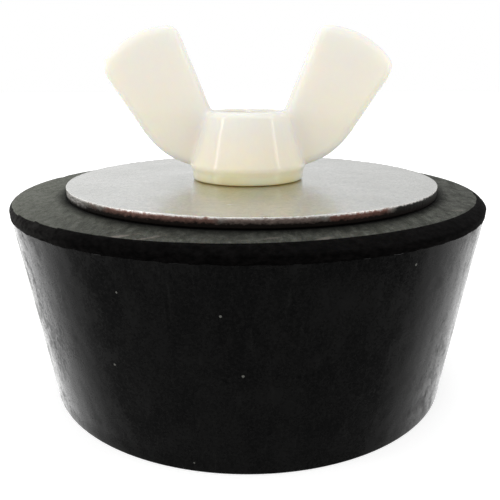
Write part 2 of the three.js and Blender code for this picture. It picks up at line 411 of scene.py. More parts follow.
def wear_rubber(angles, radii, heights):
    """A hand-trimmed casting: slow waves in the side, a ragged parting edge and small nicks in the rim."""
    radii = radii - wear_rim(angles, radii, heights)
    around = np.stack([np.cos(angles), np.sin(angles), heights * 0], -1).reshape(-1, 3) * STOPPER_TOP_RADIUS
    places = around.copy()
    places[:, 2] = heights.ravel()
    waves = smooth_noise(places, WAVE_SIZE, 1).reshape(radii.shape)
    ripples = smooth_noise(places, RIPPLE_SIZE, 2).reshape(radii.shape)
    ragged = smooth_noise(around, RAGGED_SIZE, 3).reshape(radii.shape)
    fine = smooth_noise(around, FINE_SIZE, 4).reshape(radii.shape)
    nicks = np.clip(smooth_noise(around, NICK_SIZE, 5).reshape(radii.shape) - NICK_SPARSENESS, 0, None)
    outside = radii > RECESS_RADIUS + RECESS_MARGIN
    on_side = outside & (heights > SIDE_MARGIN) & (heights < STOPPER_HEIGHT - SIDE_MARGIN)
    radii = radii - on_side * (WAVE_DEPTH * (1 + waves) + RIPPLE_DEPTH * ripples)
    parting = bump_at(heights, LIP_BASE, PARTING_SPREAD) * outside
    heights = heights + parting * (PARTING_RAGGED * ragged + PARTING_FINE * fine)
    lip = outside & (heights > LIP_BASE + LIP_STEP)
    radii = radii - lip * LIP_RAGGED * np.abs(ragged)
    rim = bump_at(heights, STOPPER_HEIGHT, RIM_SPREAD)
    rim = rim * (radii > STOPPER_TOP_RADIUS - RIM_WEAR - RIM_BREADTH)
    radii = radii - rim * (RIM_FINE * np.abs(fine) + NICK_IN * nicks)
    heights = heights - rim * NICK_DOWN * nicks
    return radii, heights


# How far below the top a face may lie and still have the ground top's look. Towards the left, from
# GROUND_RIM_FROM of the radius on, that look runs over the edge.
FLAT_DROP = 0.03 * MM
GROUND_RIM_DROP = 0.3 * MM
GROUND_RIM_FROM = 0.6


def make_rubber(materials):
    """The stopper in one piece."""
    piece = revolve("rubber_body", refine(rubber_profile(), RUBBER_STEP), RUBBER_SEGMENTS, wear_rubber)

    def part_of(centres, normals):
        """0 the satin side, 1 the torn lip band, 2 the flat top."""
        radius = np.hypot(centres[:, 0], centres[:, 1])
        lip = (centres[:, 2] > LIP_BASE - LIP_STEP) & (radius > WASHER_RADIUS + WASHER_X)
        leftwards = np.clip(-centres[:, 0] / STOPPER_TOP_RADIUS - GROUND_RIM_FROM, 0, 1)
        leftwards = leftwards / (1 - GROUND_RIM_FROM)
        top = STOPPER_HEIGHT - centres[:, 2] < FLAT_DROP + leftwards * (GROUND_RIM_DROP - FLAT_DROP)
        return np.where(top, 2, np.where(lip, 1, 0))

    paint(piece, materials, part_of)
    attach(piece, "root")
    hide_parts("rubber_stopper")
    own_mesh(piece)


# ---------------------------------------------------------------- washers

WASHER_SEGMENTS = 1024
WASHER_STEP = 0.5 * MM
BOTTOM_WASHER_STEP = 0.6 * MM
# The stamped edge: its two roundings, how high the burr stands and how unevenly, over what breadth, and how
# rough the side is
ROLLED_EDGE = 0.22 * MM
SHARP_EDGE = 0.06 * MM
BURR = 0.09 * MM
BURR_MEAN = 0.35
BURR_SLOW = 0.4
BURR_FAST = 0.6
BURR_BREADTH = 0.12 * MM
BURR_STARTS = 0.8
SIDE_DEPTH = 0.04 * MM
SIDE_STREAKS = 0.035 * MM
SIDE_WANDER = 0.02 * MM
SLOW_SIZE = 2.6 * MM
FAST_SIZE = 0.5 * MM
STREAK_SIZE = 0.35 * MM
STREAK_SQUEEZE = 0.3
# Faces this near the outer edge that look less upwards than this have the stamped side's look
EDGE_LOOK_BREADTH = 0.3 * MM
EDGE_LOOK_UPWARDS = 0.75


def washer_profile(outer, hole, base, thickness):
    """A stamped ring: a rolled lower edge, a torn side and a burr standing on the upper edge."""
    rolled = ROLLED_EDGE
    sharp = SHARP_EDGE
    top = base + thickness
    return [
        (hole, base),
        *arc((outer - rolled, base + rolled), rolled, -90, 0, 5),
        (outer, base + thickness / 2),
        *arc((outer - sharp, top - sharp), sharp, 0, 90, 3),
        (outer - 3 * sharp, top),
        (hole + rolled, top),
        (hole, top - rolled),
        (hole, base),
    ]


def tear_edge(outer, base, thickness):
    """Roughens a stamped ring's side and raises the burr along its upper edge."""

    def shape(angles, radii, heights):
        places = np.stack([np.cos(angles), np.sin(angles), heights * 0], -1).reshape(-1, 3) * outer
        upright = places.copy()
        upright[:, 2] = heights.ravel() * STREAK_SQUEEZE
        slow = smooth_noise(places, SLOW_SIZE, 6).reshape(radii.shape)
        fast = smooth_noise(places, FAST_SIZE, 7).reshape(radii.shape)
        streaks = smooth_noise(upright, STREAK_SIZE, 8).reshape(radii.shape)
        at_side = radii > outer - SIDE_DEPTH
        above = np.clip((heights - base) / thickness, 0, 1)
        edge = bump_at(radii, outer, BURR_BREADTH) * (above > BURR_STARTS)
        heights = heights + edge * BURR * (BURR_MEAN + BURR_SLOW * slow + BURR_FAST * fast)
        radii = radii - at_side * (SIDE_STREAKS * np.abs(streaks) + SIDE_WANDER * slow)
        return radii, heights

    return shape


def make_top_washer(materials):
    """The upper washer, a little off the plug's axis."""
    base = washer_low.z
    outline = washer_profile(WASHER_RADIUS, WASHER_HOLE_RADIUS, base, WASHER_THICKNESS)
    profile = refine(outline, WASHER_STEP)
    shape = tear_edge(WASHER_RADIUS, base, WASHER_THICKNESS)
    piece = revolve("top_washer_disc", profile, WASHER_SEGMENTS, shape)

    def part_of(centres, normals):
        """0 the flat faces, 1 the stamped side."""
        radius = np.hypot(centres[:, 0], centres[:, 1])
        near_edge = radius > WASHER_RADIUS - EDGE_LOOK_BREADTH
        return np.where(near_edge & (normals[:, 2] < EDGE_LOOK_UPWARDS), 1, 0)

    paint(piece, materials, part_of)
    piece.location.x = WASHER_X
    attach(piece, "washer")
    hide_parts("top_washer")


# How far the bolt's head reaches beyond the lower washer's hole
HOLE_COVER = 2 * MM


def make_bottom_washer(material):
    """The lower washer. The bolt's head hides its square hole, which is left round."""
    radius = bottom_washer_high.x
    base = bottom_washer_low.z
    hole = HEAD_RADIUS - HOLE_COVER
    profile = refine(washer_profile(radius, hole, base, BOTTOM_WASHER_THICKNESS), BOTTOM_WASHER_STEP)
    shape = tear_edge(radius, base, BOTTOM_WASHER_THICKNESS)
    piece = revolve("bottom_washer_disc", profile, RUBBER_SEGMENTS, shape)
    piece.data.materials.append(material)
    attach(piece, "root")
    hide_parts("bottom_washer")


# ---------------------------------------------------------------- thread, bolt and wing nut

# The thread's section: how steep its flanks are, and how wide its root is
FLANK_STEEPNESS = 1.35
ROOT_WIDTH = 0.2
THREAD_SEGMENTS = 96
THREAD_STEP = PITCH / 14
# Points of a bar further out than this share of its radius are on its wall
WALL_SHARE = 0.9
BOLT_STEP = 1 * MM
TIP_CHAMFER = 0.9 * MM
TIP_FLAT_SHARE = 0.8
SHARP_BOLT_ANGLE = math.radians(40)


def thread_shape(major, minor, tip=None, tip_radius=0):
    """Turns a plain bar into a right-hand thread whose phase depends on the height alone."""

    def shape(angles, radii, heights):
        turns = heights / PITCH - angles / TURN
        ramp = np.abs(2 * (turns - np.floor(turns)) - 1)
        crest = np.clip(FLANK_STEEPNESS * ramp - ROOT_WIDTH, 0, 1)
        crest = crest * crest * (3 - 2 * crest)
        threaded = minor + (major - minor) * crest
        if tip is not None:
            threaded = np.minimum(threaded, tip_radius + (tip - heights))
        wall = radii > minor * WALL_SHARE
        return np.where(wall, threaded, radii), heights

    return shape


def make_bolt(material):
    """The bolt in one piece: domed head, shank and thread. The square neck can't be seen, and is left out."""
    head_top = bolt_low.z + HEAD_HEIGHT
    thread_base = BOLT_TIP - THREAD_LENGTH
    rise = HEAD_HEIGHT - HEAD_RIM
    dome_radius = (HEAD_RADIUS ** 2 + rise ** 2) / (2 * rise)
    dome_angle = math.degrees(math.asin(HEAD_RADIUS / dome_radius))
    shank = BOLT_RADIUS - THREAD_DEPTH / 2
    bar = BOLT_RADIUS - THREAD_DEPTH
    dome = arc((0, bolt_low.z + dome_radius), dome_radius, -90, dome_angle - 90, 24)
    dome[0] = (0, dome[0][1])
    head = [*dome, (HEAD_RADIUS, head_top), (shank, head_top)]
    lower = refine([*head, (shank, thread_base)], BOLT_STEP)
    upper = refine([(bar, thread_base + PITCH / 2), (bar, BOLT_TIP)], THREAD_STEP)
    end = refine([(bar * TIP_FLAT_SHARE, BOLT_TIP), (0, BOLT_TIP)], BOLT_STEP)
    profile = np.vstack([lower, upper, end])
    cut = thread_shape(BOLT_RADIUS, bar, BOLT_TIP, BOLT_RADIUS - TIP_CHAMFER)

    def shape(angles, radii, heights):
        threaded, _ = cut(angles, radii, heights)
        return np.where(heights > thread_base + PITCH / 4, threaded, radii), heights

    piece = revolve("bolt_body", profile, THREAD_SEGMENTS, shape)
    piece.data.set_sharp_from_angle(angle=SHARP_BOLT_ANGLE)
    piece.data.materials.append(material)
    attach(piece, "root")
    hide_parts("carriage_bolt")


# The wing that points along +X, seen face on. Points are in X and height above the nut's base.
WING_EDGE_ROUND = 1.25 * MM
WING_TOP_ARC_RADIUS = 12 * MM
WING_TOP_ARC_CENTRE = np.array([9.9, 8.4]) * MM
WING_TOP_ARC_ANGLES = (39, 85)
WING_FOOT_INNER = np.array([5.2, 1.9]) * MM
WING_FOOT_OUTER = np.array([7.9, 1.9]) * MM
WING_BELLY_CORNER = np.array([11.7, 2.7]) * MM
WING_BELLY_END = np.array([14.4, 6.5]) * MM
WING_OUTER_EDGE_END = np.array([19.1, 13.6]) * MM
WING_OUTER_CORNER = np.array([19.7, 14.9]) * MM
WING_INNER_CORNER = np.array([9.6, 20.5]) * MM
WING_INNER_EDGE_TOP = np.array([9.0, 19.0]) * MM
WING_INNER_EDGE_FOOT = np.array([5.0, 9.2]) * MM
WING_TIP_THINNING = 0.16

# The hub's roundings and its bore
HUB_FOOT_ROUND = 0.3 * MM
HUB_SHOULDER_ROUND = 1.0 * MM
HUB_FLARE_ROUND = 0.9 * MM
BORE_GAP = 0.14 * MM
BORE_LEAD_IN = 0.35 * MM

# How the nut is softened: the size of a voxel, the rounds of smoothing all over and at the wings' roots,
# how near a root's corner that is full and where it ends, over what height it starts, and the sharp edges
NUT_VOXEL = 0.17 * MM
NUT_SMOOTHING = 4
FILLET_SMOOTHING = 60
FILLET_FULL_WITHIN = 0.9 * MM
FILLET_NONE_BEYOND = 2.4 * MM
FILLET_RISE = 1.2 * MM
SMOOTHING_FACTOR = 0.5
SHARP_NUT_ANGLE = math.radians(35)
HUB_SEGMENTS = 128


def bend(start, corner, end, steps=10):
    """Points of the curve from start to end that leans towards corner."""
    t = np.linspace(0, 1, steps + 1)[:, None]
    return list((1 - t) ** 2 * start + 2 * t * (1 - t) * corner + t ** 2 * end)


def wing_outline():
    """The wing that points along +X, seen face on, in X and height above the nut's base."""
    top = [np.array(p) for p in arc(WING_TOP_ARC_CENTRE, WING_TOP_ARC_RADIUS, *WING_TOP_ARC_ANGLES, 24)]
    return [
        WING_FOOT_INNER,
        *bend(WING_FOOT_OUTER, WING_BELLY_CORNER, WING_BELLY_END, 16),
        *bend(WING_OUTER_EDGE_END, WING_OUTER_CORNER, top[0]),
        *top[1:-1],
        *bend(top[-1], WING_INNER_CORNER, WING_INNER_EDGE_TOP),
        WING_INNER_EDGE_FOOT,
    ]


def wing_plate(side):
    """One wing as a mesh object with fully rounded edges, standing in the XZ plane."""
    curve = bpy.data.curves.new("wing_outline", "CURVE")
    curve.dimensions = "2D"
    curve.fill_mode = "BOTH"
    curve.extrude = WING_THICKNESS / 2 - WING_EDGE_ROUND
    curve.bevel_depth = WING_EDGE_ROUND
    curve.bevel_resolution = 5
    curve.offset = -WING_EDGE_ROUND
    outline = wing_outline()
    spline = curve.splines.new("POLY")
    spline.points.add(len(outline) - 1)
    for point, (x, z) in zip(spline.points, outline):
        point.co = (x, z, 0, 1)
    spline.use_cyclic_u = True
    plate = bpy.data.objects.new("wing_plate", curve)
    plate.rotation_euler = (math.pi / 2, 0, 0 if side > 0 else math.pi)
    plate.location.z = NUT_BASE
    bpy.context.scene.collection.objects.link(plate)
    return plate


def hub_profile():
    """The hub without its bore: a low collar with a soft foot, a flared cone and a rounded shoulder."""
    foot = HUB_FOOT_ROUND
    shoulder = HUB_SHOULDER_ROUND
    flare = HUB_FLARE_ROUND
    top = [
        *arc((CONE_TOP_RADIUS - shoulder, HUB_HEIGHT - shoulder), shoulder, 0, 90, 8),
        (0, HUB_HEIGHT),
    ]
    outline = [
        (0, 0),
        *arc((COLLAR_RADIUS - foot, foot), foot, -90, 0, 4),
        (COLLAR_RADIUS, COLLAR_HEIGHT),
        *arc((CONE_BOTTOM_RADIUS - flare, CONE_BOTTOM_HEIGHT), flare, -40, 20, 5),
        *top,
    ]
    return [(radius, NUT_BASE + height) for radius, height in outline]


def join(pieces, name):
    """One mesh object made of the pieces' meshes, in the CAD's frame. The pieces are removed."""
    bpy.context.view_layer.update()
    graph = bpy.context.evaluated_depsgraph_get()
    work = bmesh.new()
    for piece in pieces:
        mesh = bpy.data.meshes.new_from_object(piece.evaluated_get(graph))
        mesh.transform(piece.matrix_world)
        work.from_mesh(mesh)
        bpy.data.meshes.remove(mesh)
    bmesh.ops.remove_doubles(work, verts=work.verts, dist=WELD_DISTANCE)
    mesh = bpy.data.meshes.new(name)
    work.to_mesh(mesh)
    work.free()
    for piece in pieces:
        bpy.data.objects.remove(piece)
    joined = bpy.data.objects.new(name, mesh)
    bpy.context.scene.collection.objects.link(joined)
    return joined


def points_of(mesh):
    """The mesh's points as rows of an array."""
    points = np.empty(len(mesh.vertices) * 3)
    mesh.vertices.foreach_get("co", points)
    return points.reshape(-1, 3)


def fillet_wing_roots(piece):
    """Melts the corner between each wing and the hub into a wide soft fillet."""
    points = points_of(piece.data)
    height = points[:, 2] - NUT_BASE
    up_the_hub = np.clip(height / HUB_HEIGHT, 0, 1)
    cone_radius = CONE_BOTTOM_RADIUS + (CONE_TOP_RADIUS - CONE_BOTTOM_RADIUS) * up_the_hub
    root_x = np.sqrt(np.clip(cone_radius ** 2 - (WING_THICKNESS / 2) ** 2, 0, None))
    away = np.hypot(np.abs(points[:, 0]) - root_x, np.abs(points[:, 1]) - WING_THICKNESS / 2)
    near = np.clip((FILLET_NONE_BEYOND - away) / (FILLET_NONE_BEYOND - FILLET_FULL_WITHIN), 0, 1)
    above_foot = np.clip((height - CONE_BOTTOM_HEIGHT) / FILLET_RISE, 0, 1)
    weights = near * above_foot
    group = piece.vertex_groups.new(name="wing_root")
    for index in np.nonzero(weights)[0]:
        group.add([int(index)], float(weights[index]), "REPLACE")
    melt = piece.modifiers.new("melt", "SMOOTH")
    melt.factor = SMOOTHING_FACTOR
    melt.iterations = FILLET_SMOOTHING
    melt.vertex_group = group.name
    bake_modifiers(piece)
    piece.vertex_groups.clear()


def thin_wings(piece):
    """Thins the wings a little towards their tips, as the moulding's draft does."""
    mesh = piece.data
    points = points_of(mesh)
    up = np.clip((points[:, 2] - NUT_BASE - HUB_HEIGHT) / (nut_high.z - NUT_BASE - HUB_HEIGHT), 0, 1)
    points[:, 1] *= 1 - WING_TIP_THINNING * up
    mesh.vertices.foreach_set("co", points.ravel())
    mesh.update()


def cut_bore(piece):
    """Cuts the threaded hole through the hub, with a countersink at its mouth."""
    bottom = NUT_BASE - PITCH
    hub_top = NUT_BASE + HUB_HEIGHT
    mouth = BOLT_RADIUS + BORE_LEAD_IN
    bar = BOLT_RADIUS - THREAD_DEPTH + BORE_GAP
    wall = refine([(bar, bottom), (bar, hub_top + PITCH)], THREAD_STEP)
    profile = np.vstack([[(0, bottom)], wall, [(0, hub_top + PITCH)]])
    thread = thread_shape(BOLT_RADIUS + BORE_GAP, bar)

    def shape(angles, radii, heights):
        threaded, _ = thread(angles, radii, heights)
        lead_in = np.clip(mouth - np.abs(heights - hub_top) * (heights < hub_top), 0, mouth)
        widened = np.where(radii > bar / 2, np.maximum(threaded, lead_in), radii)
        return widened, heights

    cutter = revolve("thread_cutter", profile, THREAD_SEGMENTS, shape)
    cut = piece.modifiers.new("bore", "BOOLEAN")
    cut.operation = "DIFFERENCE"
    cut.object = cutter
    cut.solver = "EXACT"
    bake_modifiers(piece)
    bpy.data.objects.remove(cutter)


def make_wing_nut(material):
    """The nut in one piece: hub and wings joined under one skin, softened, then bored and threaded."""
    hub = revolve("hub", hub_profile(), HUB_SEGMENTS)
    piece = join([hub, wing_plate(1), wing_plate(-1)], "wing_nut_body")
    skin = piece.modifiers.new("skin", "REMESH")
    skin.mode = "VOXEL"
    skin.voxel_size = NUT_VOXEL
    soften = piece.modifiers.new("soften", "SMOOTH")
    soften.factor = SMOOTHING_FACTOR
    soften.iterations = NUT_SMOOTHING
    bake_modifiers(piece)
    fillet_wing_roots(piece)
    thin_wings(piece)
    cut_bore(piece)
    piece.data.shade_smooth()
    piece.data.set_sharp_from_angle(angle=SHARP_NUT_ANGLE)
    piece.data.materials.clear()
    piece.data.materials.append(material)
    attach(piece, "nut")
    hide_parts("wing_nut")


# ---------------------------------------------------------------- materials

def new_material(name, **constants):
    """A material with one Principled shader. constants are its inputs, with _ for a space."""
    material = bpy.data.materials.new(name)
    material.use_nodes = True
    tree = material.node_tree
    shader = tree.nodes["Principled BSDF"]
    for key, value in constants.items():
        shader.inputs[key.replace("_", " ")].default_value = value
    return material, tree, shader


def places(tree, stretch=(1, 1, 1)):
    """Coordinates on the piece itself, in metres, drawn out along an axis where stretch is above 1."""
    coordinates = add(tree, "ShaderNodeTexCoord").outputs["Object"]
    scale = tuple(1 / s for s in stretch)
    return add(tree, "ShaderNodeMapping", {"Vector": coordinates, "Scale": scale}).outputs[0]


def grain(tree, size, detail=4.0, roughness=0.55, stretch=(1, 1, 1), distortion=0.0):
    """Noise from 0 to 1 with features about size metres across."""
    node = add(tree, "ShaderNodeTexNoise", {
        "Vector": places(tree, stretch), "Scale": 1 / size, "Detail": detail,
        "Roughness": roughness, "Distortion": distortion})
    return node.outputs["Fac"]


def blended(tree, factor, first, second, how="MIX"):
    """A colour between first and second by factor."""
    node = add(tree, "ShaderNodeMix", data_type="RGBA", blend_type=how)
    for index, value in ((0, factor), (6, first), (7, second)):
        if isinstance(value, bpy.types.NodeSocket):
            tree.links.new(value, node.inputs[index])
        else:
            node.inputs[index].default_value = value if index == 0 else (*value, 1)
    return node.outputs[2]


def gradient(tree, value, stops):
    """A colour looked up by value in stops, each a position from 0 to 1 and a colour."""
    node = add(tree, "ShaderNodeValToRGB", {"Fac": value})
    ramp = node.color_ramp
    while len(ramp.elements) < len(stops):
        ramp.elements.new(0.5)
    for element, (position, colour) in zip(ramp.elements, stops):
        element.position = position
        element.color = (*colour, 1)
    return node.outputs["Color"]


def raised(tree, heights, distance, strength=1.0, under=None):
    """A bump of that many metres."""
    inputs = {"Height": heights, "Distance": distance, "Strength": strength}
    if under is not None:
        inputs["Normal"] = under
    return add(tree, "ShaderNodeBump", inputs).outputs["Normal"]


def specks(tree, spacing, size, share):
    """1 inside sparse round specks and 0 elsewhere. share is the share of cells that hold one."""
    cells = add(tree, "ShaderNodeTexVoronoi", {"Vector": places(tree), "Scale": 1 / spacing})
    inside = calculated(tree, "LESS_THAN", cells.outputs["Distance"], size / spacing)
    channel = add(tree, "ShaderNodeSeparateColor", {"Color": cells.outputs["Color"]}).outputs[0]
    chosen = calculated(tree, "LESS_THAN", channel, share)
    return calculated(tree, "MULTIPLY", inside, chosen)


def side_rubber():
    """Satin moulded rubber with pale hazy smears, fine pale speckle, scrapes and a few specks of dust."""
    black, smeared = (0.0012, 0.0012, 0.0013), (0.0030, 0.0030, 0.0029)
    pale, scrape, dusty = (0.0085, 0.0085, 0.0080), (0.012, 0.012, 0.0115), (0.11, 0.11, 0.10)
    material, tree, shader = new_material(
        "rubber_side", IOR=1.3, Sheen_Weight=0.04, Sheen_Roughness=0.3)
    smears = ranged(tree, grain(tree, 6 * MM, 7, 0.66, (1, 1, 1.6), 0.8), 0.4, 0.62)
    fine = grain(tree, 0.32 * MM, 3, 0.65)
    mottle = ranged(tree, grain(tree, 1.6 * MM, 5, 0.65, (1, 1, 1.5)), 0.35, 0.65)
    hollows = grain(tree, 2.2 * MM, 1, 0.5, (1, 1, 1.5))
    scraped = ranged(tree, grain(tree, 1.1 * MM, 4, 0.6, (1, 1, 9)), 0.6, 0.75)
    base = blended(tree, smears, black, smeared)
    speckled = calculated(tree, "MULTIPLY", ranged(tree, fine, 0.35, 0.7), 0.38)
    base = blended(tree, speckled, base, pale)
    base = blended(tree, calculated(tree, "MULTIPLY", scraped, 0.4), base, scrape)
    dust = specks(tree, 4 * MM, 0.15 * MM, 0.9)
    base = blended(tree, calculated(tree, "MULTIPLY", dust, 0.8), base, dusty)
    tree.links.new(base, shader.inputs["Base Color"])
    patchy = ranged(tree, calculated(tree, "MULTIPLY", smears, mottle), 0, 1, 0.2, 0.5)
    grainy = ranged(tree, fine, 0.3, 0.7, -0.12, 0.12)
    tree.links.new(calculated(tree, "ADD", patchy, grainy), shader.inputs["Roughness"])
    pitted = raised(tree, fine, 0.009 * MM, 0.5)
    tree.links.new(raised(tree, hollows, 0.08 * MM, 0.5, pitted), shader.inputs["Normal"])
    return material


def lip_rubber():
    """The band at the mould's parting line, torn and matt, with painted light that makes it paler at the
    left.
    """
    hollow, crest, left_lit = (0.0005, 0.0004, 0.0004), (0.0032, 0.0027, 0.0027), (0.040, 0.039, 0.036)
    left_light_begins, left_light_full = -0.55 * STOPPER_TOP_RADIUS, -0.9 * STOPPER_TOP_RADIUS
    material, tree, shader = new_material("rubber_lip", IOR=1.11)
    torn = grain(tree, 0.8 * MM, 5, 0.7, (1, 1, 0.6))
    base = blended(tree, ranged(tree, torn, 0.4, 0.75), hollow, crest)
    at = add(tree, "ShaderNodeSeparateXYZ", {"Vector": places(tree)})
    # Painted light: towards the left the lip is painted paler, as where stronger light falls.
    left_light = ranged(tree, at.outputs["X"], left_light_begins, left_light_full, 0, 0.7)
    left_light = calculated(tree, "MULTIPLY", left_light, ranged(tree, torn, 0.3, 0.7))
    base = blended(tree, left_light, base, left_lit)
    tree.links.new(base, shader.inputs["Base Color"])
    tree.links.new(ranged(tree, torn, 0.3, 0.7, 0.9, 0.7), shader.inputs["Roughness"])
    tree.links.new(raised(tree, torn, 0.1 * MM, 0.5), shader.inputs["Normal"])
    return material


SCUFFS = (
    # across, towards the back, half length, half width, in millimetres, turn in degrees, how strong
    (-12.4, -27.4, 2.2, 0.5, 30, 1.0),
    (-9.8, -28.3, 2.0, 0.4, 35, 0.9),
    (2.2, -28.4, 1.2, 0.35, 30, 0.6),
    (7.6, -28.4, 1.4, 0.4, 40, 0.6),
    (24.5, -16.0, 0.8, 0.5, 0, 0.5),
)


def scuff_mask(tree):
    """Where the flat top has been rubbed pale, with ragged borders."""
    ragged = ranged(tree, grain(tree, 0.7 * MM, 4, 0.6), 0.3, 0.7, -0.6, 0.6)
    here = add(tree, "ShaderNodeTexCoord").outputs["Object"]
    total = None
    for x, y, length, width, turn, strength in SCUFFS:
        moved = add(tree, "ShaderNodeMapping", {
            "Vector": here, "Location": (x * MM, y * MM, 0), "Rotation": (0, 0, math.radians(turn)),
            "Scale": (length * MM, width * MM, 1)}, vector_type="TEXTURE").outputs[0]
        flat = add(tree, "ShaderNodeVectorMath", {0: moved, 1: (1, 1, 0)}, operation="MULTIPLY").outputs[0]
        away = add(tree, "ShaderNodeVectorMath", {0: flat}, operation="LENGTH").outputs["Value"]
        spot = ranged(tree, calculated(tree, "ADD", away, ragged), 1.1, 0.3, 0, strength)
        total = spot if total is None else calculated(tree, "MAXIMUM", total, spot)
    return total


# How far the painted shade that the washer casts on the flat top reaches out from the washer, in front and at
# the sides
WASHER_SHADE_WIDTH_FRONT = 3.8 * MM
WASHER_SHADE_WIDTH_SIDES = 1.6 * MM


def washer_reach(tree):
    """How far a point of the flat top is from the top washer's own middle, seen from above."""
    ends = {0: places(tree), 1: (WASHER_X, 0, STOPPER_HEIGHT)}
    return add(tree, "ShaderNodeVectorMath", ends, operation="DISTANCE").outputs["Value"]


def top_rubber():
    """The flat rim: ground rubber, dull and a little green, with painted light that makes it paler towards
    the left, with scuffs, and with painted shade that darkens it next to the washer, widest in front."""
    dark, pale, cut = (0.033, 0.036, 0.028), (0.118, 0.123, 0.104), (0.036, 0.038, 0.031)
    clouded, left_lit, scuffed = (0.035, 0.036, 0.031), (0.190, 0.198, 0.165), (0.20, 0.18, 0.16)
    # The last colour is the near black of the painted shade next to the washer.
    shade_dark = (0.002, 0.002, 0.002)
    left_light_begins, left_light_full = -0.45 * STOPPER_TOP_RADIUS, -0.95 * STOPPER_TOP_RADIUS
    front_begins, front_full = -0.6 * STOPPER_TOP_RADIUS, -0.9 * STOPPER_TOP_RADIUS
    material, tree, shader = new_material("rubber_top", IOR=1.18)
    mottle = grain(tree, 0.8 * MM, 5, 0.7, (1, 2.5, 1))
    fine = ranged(tree, grain(tree, 0.3 * MM, 4, 0.7, (1, 2.5, 1)), 0.38, 0.62)
    cloud = ranged(tree, grain(tree, 7 * MM, 3, 0.55), 0.35, 0.65)
    base = blended(tree, ranged(tree, mottle, 0.38, 0.62), dark, pale)
    base = blended(tree, calculated(tree, "MULTIPLY", fine, 0.7), base, cut)
    base = blended(tree, calculated(tree, "MULTIPLY", cloud, 0.25), base, clouded)
    at = add(tree, "ShaderNodeSeparateXYZ", {"Vector": places(tree)})
    # Painted light: towards the left the flat top is painted paler, as where stronger light falls.
    left_light = ranged(tree, at.outputs["X"], left_light_begins, left_light_full)
    left_light = calculated(tree, "MULTIPLY", left_light, ranged(tree, fine, 0, 1, 0.15, 0.85))
    base = blended(tree, left_light, base, left_lit)
    base = blended(tree, calculated(tree, "MULTIPLY", scuff_mask(tree), 0.8), base, scuffed)
    # Painted shade: next to the washer the flat top is painted near black, widest in front, for the shade the
    # washer casts there. The same mask also makes it rougher.
    width = ranged(tree, at.outputs["Y"], front_begins, front_full, WASHER_SHADE_WIDTH_SIDES, WASHER_SHADE_WIDTH_FRONT)
    beyond = calculated(tree, "SUBTRACT", washer_reach(tree), WASHER_RADIUS)
    washer_shade = ranged(tree, calculated(tree, "DIVIDE", beyond, width), 1, 0, 0, 0.95)
    base = blended(tree, washer_shade, base, shade_dark)
    tree.links.new(base, shader.inputs["Base Color"])
    worn = ranged(tree, mottle, 0.3, 0.7, 0.68, 0.5)
    rough = calculated(tree, "ADD", worn, calculated(tree, "MULTIPLY", washer_shade, 0.3))
    tree.links.new(rough, shader.inputs["Roughness"])
    bumpy = raised(tree, fine, 0.12 * MM, 0.6)
    tree.links.new(raised(tree, mottle, 0.2 * MM, 0.7, bumpy), shader.inputs["Normal"])
    return material


def washer_face():
    """Cold-rolled sheet steel: satin, with faint rolling lines, soft smudges and a few pits."""
    bright, smudged = (0.59, 0.595, 0.57), (0.55, 0.555, 0.53)
    dull, pitted = (0.42, 0.425, 0.41), (0.18, 0.175, 0.16)
    material, tree, shader = new_material("washer_face", Metallic=1.0)
    rolling = grain(tree, 0.5 * MM, 4, 0.6, (7, 1, 1))
    smudge = grain(tree, 7 * MM, 4, 0.6)
    fine = grain(tree, 0.3 * MM, 4, 0.65)
    pits = specks(tree, 6 * MM, 0.17 * MM, 0.28)
    base = blended(tree, ranged(tree, smudge, 0.35, 0.7), bright, smudged)
    base = blended(tree, ranged(tree, fine, 0.42, 0.66, 0, 0.9), base, dull)
    base = blended(tree, calculated(tree, "MULTIPLY", pits, 0.65), base, pitted)
    tree.links.new(base, shader.inputs["Base Color"])
    rough = calculated(
        tree, "ADD", ranged(tree, smudge, 0.3, 0.7, 0.17, 0.25), ranged(tree, rolling, 0.3, 0.7, -0.02, 0.03))
    tree.links.new(rough, shader.inputs["Roughness"])
    lined = raised(tree, rolling, 0.003 * MM, 0.3)
    tree.links.new(raised(tree, fine, 0.012 * MM, 0.5, lined), shader.inputs["Normal"])
    return material


STAINED_STRETCHES = (
    # middle of the stretch and half its length, in degrees round the washer, and how strong
    (-116, 20, 0.8),
    (-86, 14, 0.4),
    (-63, 11, 0.9),
    (40, 25, 0.7),
    (130, 15, 0.6),
)
TORN_STRETCH = (-32, 22, 1.0)
POLISHED_STRETCH = (-166, 24, 1.0)


def stretch_mask(tree, bearing, ragged, stretches):
    """Where a bearing in degrees lies in one of the stretches, with ragged ends."""
    total = None
    for middle, half, strength in stretches:
        off = calculated(tree, "ABSOLUTE", calculated(tree, "SUBTRACT", bearing, middle))
        level = calculated(tree, "ADD", calculated(tree, "DIVIDE", off, half), ragged)
        spot = ranged(tree, level, 1.1, 0.8, 0, strength)
        total = spot if total is None else calculated(tree, "MAXIMUM", total, spot)
    return total


